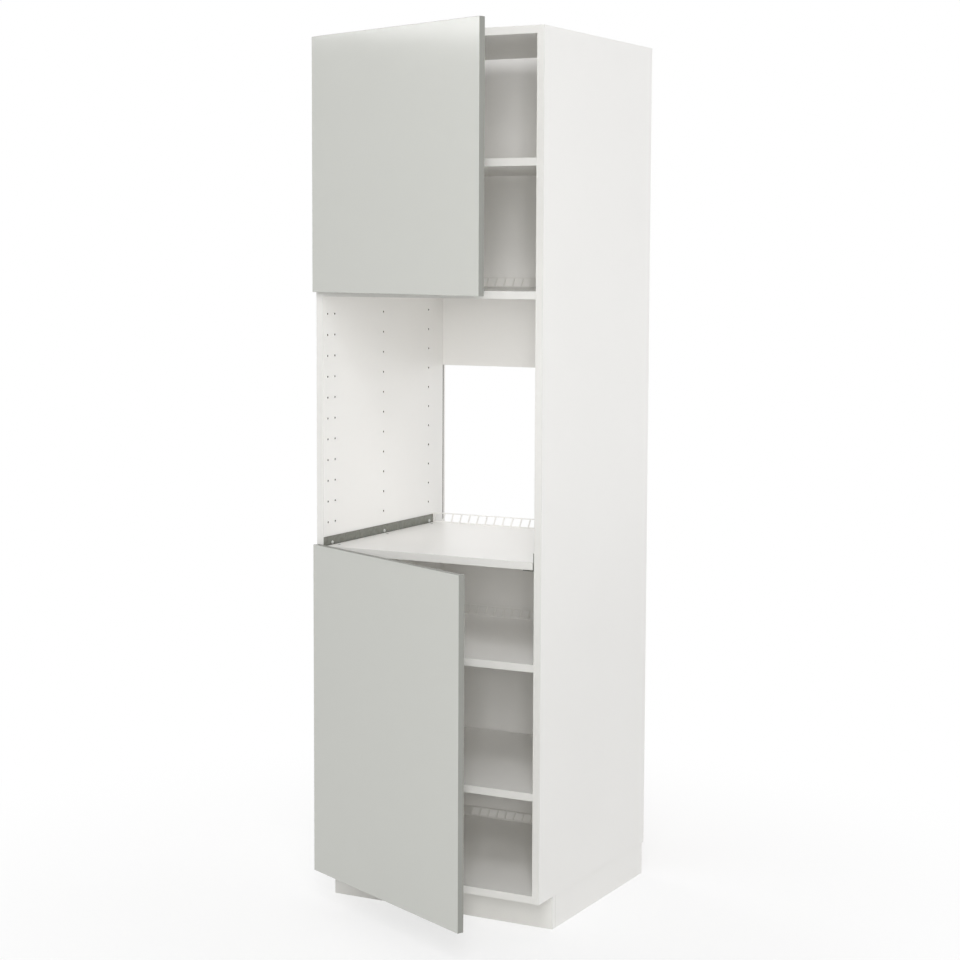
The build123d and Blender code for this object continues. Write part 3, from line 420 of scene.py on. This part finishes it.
def solids(node):
    """The corner points of each separate solid of a CAD node."""
    mesh = bmesh.new()
    mesh.from_mesh(nodes[node].data)
    bmesh.ops.remove_doubles(mesh, verts=mesh.verts, dist=merge_distance)
    waiting = set(mesh.verts)
    groups = []
    while waiting:
        edge_of_group = [waiting.pop()]
        group = []
        while edge_of_group:
            corner = edge_of_group.pop()
            group.append(corner.co.copy())
            for edge in corner.link_edges:
                other = edge.other_vert(corner)
                if other in waiting:
                    waiting.remove(other)
                    edge_of_group.append(other)
        groups.append(group)
    mesh.free()
    return groups


def seat(points, outward):
    """The middle of a solid's outermost face, looking along outward."""
    aside = outward.orthogonal().normalized()
    above = outward.cross(aside)
    reach = max(point.dot(outward) for point in points)
    return (
        outward * reach
        + aside * middle_of([point.dot(aside) for point in points])
        + above * middle_of([point.dot(above) for point in points])
    )


def into_cabinet(points):
    """The way from a screw at the side towards the middle of the cabinet."""
    return Vector((-math.copysign(1, points[0].x), 0, 0))


def seats_of(node, outward=None):
    """(place, direction) of each solid's seat. Without outward, the seats look into the cabinet."""
    seats = []
    for points in solids(node):
        direction = into_cabinet(points) if outward is None else outward
        seats.append((seat(points, direction), direction))
    return seats


print("rail screws:", len(seats_of("rail_screws")))

# %% [markdown]
# ## Turned fasteners with a cross recess
# A screw is a turned form: half its outline, spun round its axis. The recess is cut with a Boolean, as the
# punch in the heading machine does it: two bars that cross and taper towards the point. Each shape is made
# once, with its head's top at the origin and its axis along Z.

# %% Turn an outline and punch a recess
turn_steps = 24
recess_taper = 0.75


def turned(name, outline):
    """Spin a half outline, as radius and height in millimetres from the top down, into a closed form."""
    mesh = bmesh.new()
    rings = []
    for radius, height in outline:
        ring = []
        for step in range(turn_steps):
            angle = 2 * math.pi * step / turn_steps
            corner = (radius * mm * math.cos(angle), radius * mm * math.sin(angle), height * mm)
            ring.append(mesh.verts.new(corner))
        rings.append(ring)
    mesh.faces.new(rings[0])
    mesh.faces.new(reversed(rings[-1]))
    for upper, lower in zip(rings, rings[1:]):
        for step in range(turn_steps):
            after = (step + 1) % turn_steps
            mesh.faces.new((upper[step], lower[step], lower[after], upper[after]))
    bmesh.ops.recalc_face_normals(mesh, faces=mesh.faces)
    data = bpy.data.meshes.new(name)
    mesh.to_mesh(data)
    mesh.free()
    return bpy.data.objects.new(name, data)


def with_recess(shape, span, bar, depth):
    """Cut a tapering cross of this span, bar width and depth, in millimetres, into the top of a shape."""
    mesh = bmesh.new()
    for turn in (0, math.pi / 2):
        cutter = bmesh.ops.create_cube(mesh, size=1)["verts"]
        for corner in cutter:
            narrow = 1 if corner.co.z > 0 else recess_taper
            corner.co.x *= span * mm * narrow
            corner.co.y *= bar * mm * narrow
            corner.co.z *= 2 * depth * mm
        bmesh.ops.rotate(mesh, verts=cutter, matrix=Matrix.Rotation(turn, 3, "Z"))
    data = bpy.data.meshes.new(shape.name + "_punch")
    mesh.to_mesh(data)
    mesh.free()
    punch = bpy.data.objects.new(data.name, data)
    for piece in (shape, punch):
        scene.collection.objects.link(piece)
    cut = shape.modifiers.new("recess", "BOOLEAN")
    cut.operation = "DIFFERENCE"
    cut.solver = "EXACT"
    cut.use_self = True
    cut.object = punch
    bpy.context.view_layer.update()
    finished = bpy.data.meshes.new_from_object(shape.evaluated_get(bpy.context.evaluated_depsgraph_get()))
    shape.modifiers.clear()
    shape.data = finished
    for piece in (shape, punch):
        scene.collection.objects.unlink(piece)
    bpy.data.objects.remove(punch)
    return shape


print("steps round a screw:", turn_steps)

# %% [markdown]
# ## The fasteners' shapes
# Rail, leg and cup screws are pan heads of different sizes, so one function draws their outline from the
# head and the shank. The oven shelf's screws are countersunk, the caps of the cam locks are low discs, and
# the adjusting screws of a hinge arm are a disc on a short neck. All sizes are in millimetres.

# %% Screw and cam shapes
def pan_head(name, head_radius, head, shank_radius, length, span):
    """A screw with a low domed head. length is that of the shank, under the head."""
    dome = [(head_radius * 0.55, 0), (head_radius * 0.8, -0.18 * head), (head_radius, -head)]
    tip = -head - length
    point_start = -head - 0.85 * length
    shank = [(shank_radius, -head), (shank_radius, point_start), (0.3 * shank_radius, tip)]
    return with_recess(turned(name, dome + shank), span, 0.28 * span, 0.6 * head + 0.4)


rail_screw = pan_head("rail_screw_shape", 4.5, 2.2, 2.4, 13.9, 4.6)
leg_screw = pan_head("leg_screw_shape", 3.6, 2.0, 2.0, 12.0, 3.8)
cup_screw = pan_head("cup_screw_shape", 3.4, 0.6, 1.9, 10.0, 3.4)
sunk_outline = [(4.0, 0), (2.0, -2.0), (2.0, -18.7), (0.6, -22.0)]
shelf_screw = with_recess(turned("shelf_screw_shape", sunk_outline), span=4.4, bar=1.2, depth=1.4)
cap_outline = [(7.0, 0), (7.4, -0.4), (7.4, -4.8), (7.0, -4.9)]
cam_cap = with_recess(turned("cam_cap_shape", cap_outline), span=8.6, bar=2.2, depth=2.4)
arm_outline = [(2.8, 0), (3.1, -0.3), (3.1, -0.9), (2.4, -0.9), (2.4, -3.0)]
arm_screw = with_recess(turned("arm_screw_shape", arm_outline), span=3.6, bar=1.0, depth=1.2)
print("recessed screw faces:", len(rail_screw.data.polygons))

# %% [markdown]
# ## Set the fasteners with Geometry Nodes
# Every fastener is one shape repeated at its seats, which is what Instance on Points does. The seats are
# the points of a small mesh, and each point carries the direction its head looks in. Nobody stops all
# screws with their crosses in line, so each also gets a turn about its own axis, random but with a fixed
# seed. The tree ends in Realize Instances and Set Material, so that the result can become a plain mesh.

# %% The fastener tree
fasteners = bpy.data.node_groups.new("fasteners_on_seats", "GeometryNodeTree")
socket_of = {}
for label, kind in (
    ("Seats", "NodeSocketGeometry"), ("Fastener", "NodeSocketObject"), ("Finish", "NodeSocketMaterial"),
    ("Seed", "NodeSocketInt"),
):
    socket_of[label] = fasteners.interface.new_socket(label, in_out="INPUT", socket_type=kind).identifier
fasteners.interface.new_socket("Fasteners", in_out="OUTPUT", socket_type="NodeSocketGeometry")
given = add(fasteners, "NodeGroupInput").outputs
heading = add(fasteners, "GeometryNodeInputNamedAttribute", {"Name": "outward"}, data_type="FLOAT_VECTOR")
upright = add(fasteners, "FunctionNodeAlignRotationToVector", {"Vector": heading.outputs[0]}, axis="Z")
any_angle = {2: 0.0, 3: 2 * math.pi, "Seed": given["Seed"]}
chance = add(fasteners, "FunctionNodeRandomValue", any_angle, data_type="FLOAT")
spin = add(fasteners, "FunctionNodeAxisAngleToRotation", {"Axis": (0, 0, 1), "Angle": chance.outputs[1]})
driven = add(
    fasteners, "FunctionNodeRotateRotation",
    {"Rotation": upright.outputs[0], "Rotate By": spin.outputs[0]}, rotation_space="LOCAL",
)
shape = add(fasteners, "GeometryNodeObjectInfo", {"Object": given["Fastener"]})
rows = add(
    fasteners, "GeometryNodeInstanceOnPoints",
    {"Points": given["Seats"], "Instance": shape.outputs["Geometry"], "Rotation": driven.outputs[0]},
)
real = add(fasteners, "GeometryNodeRealizeInstances", {"Geometry": rows.outputs[0]})
dressed = add(
    fasteners, "GeometryNodeSetMaterial", {"Geometry": real.outputs[0], "Material": given["Finish"]}
)
add(fasteners, "NodeGroupOutput", {0: dressed.outputs[0]})
print("fastener tree nodes:", len(fasteners.nodes))

# %% [markdown]
# ## From a tree to a plain mesh
# A tree does its work as a modifier. Its inputs are set by their identifiers before the object is first
# evaluated, the evaluated result becomes a plain mesh for one body, and the modifier is removed.

# %% Grow a piece from a tree
def grow(name, start, tree, values, body):
    """Run a node tree on a start mesh, keep the result as a plain mesh and let it ride on a body."""
    piece = bpy.data.objects.new(name, start)
    scene.collection.objects.link(piece)
    modifier = piece.modifiers.new(name, "NODES")
    modifier.node_group = tree
    for identifier, value in values.items():
        modifier[identifier] = value
    bpy.context.view_layer.update()
    grown = bpy.data.meshes.new_from_object(piece.evaluated_get(bpy.context.evaluated_depsgraph_get()))
    piece.modifiers.clear()
    piece.data = grown
    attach(piece, body)
    print(name, "faces:", len(piece.data.polygons))
    return piece


def fasten(name, seats, fastener, finish, body, seed):
    """Fasteners at (place, direction) seats, as one piece on a body."""
    start = bpy.data.meshes.new(name + "_seats")
    start.from_pydata([place for place, _ in seats], [], [])
    directions = start.attributes.new("outward", "FLOAT_VECTOR", "POINT")
    for point, (_, direction) in zip(directions.data, seats):
        point.vector = direction
    values = {socket_of["Fastener"]: fastener, socket_of["Finish"]: finish, socket_of["Seed"]: seed}
    return grow(name, start, fasteners, values, body)


print("inputs of the tree:", list(socket_of))

# %% [markdown]
# ## Fixed screws and cam caps
# The screws of the rails and the wall brackets look into the cabinet, those of the oven shelf look up, and
# those of the legs and the caps of the cam locks look down. Each set takes the place of its plain CAD node
# and rides on the carcass.

# %% Set the fixed screws and cam caps
up = Vector((0, 0, 1))
for node, outward, name, fastener, finish, slot, seed in (
    ("rail_screws", None, "rail_pan_screws", rail_screw, zinc, "zinc_steel", 3),
    ("wall_bracket_screws", None, "bracket_pan_screws", rail_screw, zinc, "zinc_steel", 5),
    ("oven_shelf_screws", up, "shelf_sunk_screws", shelf_screw, blackened, "dark_screw", 7),
    ("leg_screws", -up, "leg_pan_screws", leg_screw, zinc, "zinc_steel", 11),
    ("cam_locks", -up, "cam_caps", cam_cap, zinc, "zinc_steel", 13),
):
    seats = seats_of(node, outward)
    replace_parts(fasten(name, seats, fastener, finish, "carcass", seed), node)

# %% [markdown]
# ## Hinge screws
# The cup screws look back from the door, which stands ajar at rest, and ride on it. Each hinge arm carries
# two adjusting screws on its flat face, as every cup hinge does, one for depth and one for overlay. They
# stand a little proud of the arm, at fixed distances behind the front of the carcass.

# %% Set the hinge screws
arm_bar = 10.0 * mm
arm_screw_lines = (32.0 * mm, 58.0 * mm)
arm_screw_rise = 0.9 * mm
inward = Vector((1, 0, 0))
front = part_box("left_side_panel")[0].y
for number, door in enumerate(doors):
    backward = Matrix.Rotation(ajar(door), 3, "Z") @ Vector((0, 1, 0))
    cup_seats = seats_of(f"{door}_cup_screws", backward)
    cup_screws = fasten(
        f"{door}_cup_pan_screws", cup_seats, cup_screw, nickel, f"{door}_door", 17 + number
    )
    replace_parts(cup_screws, f"{door}_cup_screws")
    screw_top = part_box(f"{door}_hinge_plates")[1].x + arm_bar + arm_screw_rise
    arm_seats = []
    for points in solids(f"{door}_hinge_arms"):
        height = middle_of([point.z for point in points])
        for line in arm_screw_lines:
            arm_seats.append((Vector((screw_top, front + line, height)), inward))
    fasten(f"{door}_arm_screws", arm_seats, arm_screw, nickel, "carcass", 23 + number)

# %% [markdown]
# ## Grip ribs on the levelling feet
# A levelling foot is turned by hand, so its stem has a ring of small ribs above the disc. A circle of points
# with a rib on each is again a job for Geometry Nodes: Mesh Circle gives the points, and its own angle turns
# each rib outwards. The foot's place comes in as a vector, so one tree serves all four feet.

# %% The rib tree
ribs = bpy.data.node_groups.new("grip_ribs", "GeometryNodeTree")
rib_socket = {}
for label, kind in (
    ("Start", "NodeSocketGeometry"), ("Place", "NodeSocketVector"), ("Ring", "NodeSocketFloat"),
    ("Count", "NodeSocketInt"), ("Size", "NodeSocketVector"), ("Finish", "NodeSocketMaterial"),
):
    rib_socket[label] = ribs.interface.new_socket(label, in_out="INPUT", socket_type=kind).identifier
ribs.interface.new_socket("Ribs", in_out="OUTPUT", socket_type="NodeSocketGeometry")
given = add(ribs, "NodeGroupInput").outputs
ring = add(ribs, "GeometryNodeMeshCircle", {"Vertices": given["Count"], "Radius": given["Ring"]})
where = add(ribs, "GeometryNodeInputPosition").outputs[0]
facing = add(ribs, "FunctionNodeAlignRotationToVector", {"Vector": where}, axis="X", pivot_axis="Z")
rib = add(ribs, "GeometryNodeMeshCube", {"Size": given["Size"], 1: 2, 2: 2, 3: 2})
around = add(
    ribs, "GeometryNodeInstanceOnPoints",
    {"Points": ring.outputs[0], "Instance": rib.outputs[0], "Rotation": facing.outputs[0]},
)
moved = add(ribs, "GeometryNodeTransform", {"Geometry": around.outputs[0], "Translation": given["Place"]})
real = add(ribs, "GeometryNodeRealizeInstances", {"Geometry": moved.outputs[0]})
dressed = add(ribs, "GeometryNodeSetMaterial", {"Geometry": real.outputs[0], "Material": given["Finish"]})
add(ribs, "NodeGroupOutput", {0: dressed.outputs[0]})
print("rib tree nodes:", len(ribs.nodes))

# %% Ribs for the feet
rib_count = 20
rib_ring = 13.3 * mm
rib_low = 9.3 * mm
rib_high = 16.0 * mm
rib_width = 1.6 * mm
rib_depth = 1.4 * mm
for foot in feet:
    low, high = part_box(foot)
    values = {
        rib_socket["Place"]: ((low.x + high.x) / 2, (low.y + high.y) / 2, (rib_low + rib_high) / 2),
        rib_socket["Ring"]: rib_ring,
        rib_socket["Count"]: rib_count,
        rib_socket["Size"]: (rib_depth, rib_width, rib_high - rib_low),
        rib_socket["Finish"]: black_abs,
    }
    grow(f"{foot}_grip", bpy.data.meshes.new(f"{foot}_grip"), ribs, values, foot)

# %% [markdown]
# ## White floor
# The cabinet stands on white. The floor holds the cabinet's soft shadow and fades into the white
# background within about two metres, by the distance from the cabinet. With the Light Path node a material
# can tell how it is reached: where the floor is looked at, straight or in a mirror image, a part of it is
# plain white, and for the light that it throws back onto the cabinet it is matt white paint.

# %% Floor
floor_reach = 30.0
shadow_reach = 0.5
white_reach = 1.8
floor_lift = 0.68


def seen_directly(tree):
    """1 where a surface is looked at by the camera, in a mirror image or through something clear, else 0."""
    ray = add(tree, "ShaderNodeLightPath").outputs
    straight = {0: ray["Is Camera Ray"], 1: ray["Is Transmission Ray"]}
    clear = add(tree, "ShaderNodeMath", straight, operation="MAXIMUM").outputs[0]
    return add(tree, "ShaderNodeMath", {0: clear, 1: ray["Is Glossy Ray"]}, operation="MAXIMUM").outputs[0]


floor_data = bpy.data.meshes.new("floor")
floor_corners = [(x * floor_reach, y * floor_reach, 0) for x, y in ((-1, -1), (1, -1), (1, 1), (-1, 1))]
floor_data.from_pydata(floor_corners, [], [(0, 1, 2, 3)])
floor = bpy.data.objects.new("floor", floor_data)
scene.collection.objects.link(floor)
floor_paint = bpy.data.materials.new("white_studio_floor")
floor_paint.use_nodes = True
tree = floor_paint.node_tree
tree.nodes.remove(tree.nodes["Principled BSDF"])
spot = add(tree, "ShaderNodeTexCoord").outputs["Object"]
distance = add(tree, "ShaderNodeVectorMath", {0: spot}, operation="LENGTH").outputs["Value"]
fade = add(tree, "ShaderNodeMapRange", {
    "Value": distance, "From Min": shadow_reach, "From Max": white_reach,
    "To Min": floor_lift, "To Max": 1.0,
}, interpolation_type="SMOOTHSTEP")
looked_at = seen_directly(tree)
seen = add(tree, "ShaderNodeMath", {0: looked_at, 1: fade.outputs[0]}, operation="MULTIPLY")
tones = {"Factor": looked_at, colour_a: colour("#F0F0EE"), colour_b: colour("#FCFCFC")}
tone = add(tree, "ShaderNodeMix", tones, data_type="RGBA")
matt = add(tree, "ShaderNodeBsdfDiffuse", {"Color": tone.outputs[mixed_colour]})
glow = add(tree, "ShaderNodeEmission", {"Color": (1, 1, 1, 1), "Strength": 1.0})
blend = add(tree, "ShaderNodeMixShader", {0: seen.outputs[0], 1: matt.outputs[0], 2: glow.outputs[0]})
tree.links.new(blend.outputs[0], tree.nodes["Material Output"].inputs["Surface"])
floor_data.materials.append(floor_paint)
print("floor is white from", white_reach, "m outwards")

# %% [markdown]
# ## Pale sky
# The world is an even, pale sky at a plain level, and white where it is looked at. Light goes to and fro
# many times between the white boards of a cupboard before it comes out again, so it may bounce more often
# than Blender's default allows: with few bounces the insides would come out too dark.

# %% World
sky_level = 0.38
light_bounces = 16
world = bpy.data.worlds.new("white_room")
world.use_nodes = True
scene.world = world
tree = world.node_tree
level = add(tree, "ShaderNodeMapRange", {"Value": seen_directly(tree), "To Min": sky_level, "To Max": 1.0})
sky = tree.nodes["Background"]
sky.inputs["Color"].default_value = (1, 1, 1, 1)
tree.links.new(level.outputs[0], sky.inputs["Strength"])
scene.cycles.max_bounces = light_bounces
scene.cycles.diffuse_bounces = light_bounces
print("sky level:", sky_level, "bounces:", light_bounces)

# %% [markdown]
# ## Softboxes
# A small softbox on the left, with its lower edge a little above eye height, is what the sheen of the upper
# door mirrors along its top. Two at the rear and one above the cabinet shape the back, the right side and
# the top. The left side has one of its own, which stands behind the planes of the doors' fronts, so that it
# leaves them alone. A tall strip behind the camera and a lamp above it light the fronts and reach past the
# doors into the cupboards. The last three are only fills, so they are kept out of mirror images.

# %% Lamps
def softbox(name, place, target, width, height, brightness, mirrored=True):
    """A rectangular lamp of this size in metres that looks at a target. A brightness of 1 looks white."""
    lamp = bpy.data.lights.new(name, "AREA")
    lamp.shape = "RECTANGLE"
    lamp.size = width
    lamp.size_y = height
    lamp.energy = math.pi * width * height * brightness
    box = bpy.data.objects.new(name, lamp)
    box.location = place
    box.rotation_euler = (Vector(target) - Vector(place)).to_track_quat("-Z", "Y").to_euler()
    box.visible_camera = False
    box.visible_glossy = mirrored
    scene.collection.objects.link(box)
    print(name, "watts:", round(lamp.energy, 1))


middle = (0, 0.1, 1.1)
softbox("left_softbox", (-3.4, -1.4, 2.73), (0, -1.4, 2.73), 1.6, 0.6, 5.0)
softbox("right_rear_softbox", (2.0, 3.3, 1.7), middle, 2.0, 2.8, 1.1)
softbox("left_rear_softbox", (-2.4, 3.0, 1.9), middle, 2.0, 2.8, 0.75)
softbox("top_softbox", (0, 1.0, 4.6), (0, 0.6, 2.0), 2.0, 2.0, 1.4)
softbox("left_side_softbox", (-3.3, 2.0, 2.0), middle, 1.6, 2.8, 2.4, mirrored=False)
softbox("front_strip", (3.2, -5.9, 2.6), middle, 0.9, 3.4, 21.5, mirrored=False)
softbox("overhead_softbox", (2.2, -4.2, 4.9), middle, 2.0, 1.6, 9.0, mirrored=False)

# %% [markdown]
# ## Camera
# The camera stands where the photograph was taken from, worked out from the cabinet's edges in the picture:
# about eye height, 28 degrees to the right of the front, with a long lens. A small downward shift keeps the
# uprights nearly parallel, as in the photograph.

# %% Camera
tilt, roll, turn = 84.8555, -0.2244, 28.0276
eye = bpy.data.cameras.new("eye")
eye.sensor_width = 36.0
eye.lens = 78.900
eye.shift_y = -0.0365
camera = bpy.data.objects.new("eye", eye)
camera.location = (2.3976, -4.3256, 1.5691)
camera.rotation_euler = [math.radians(angle) for angle in (tilt, roll, turn)]
scene.collection.objects.link(camera)
scene.camera = camera
print("camera height:", round(camera.location.z, 2), "m, lens:", round(eye.lens, 1), "mm")
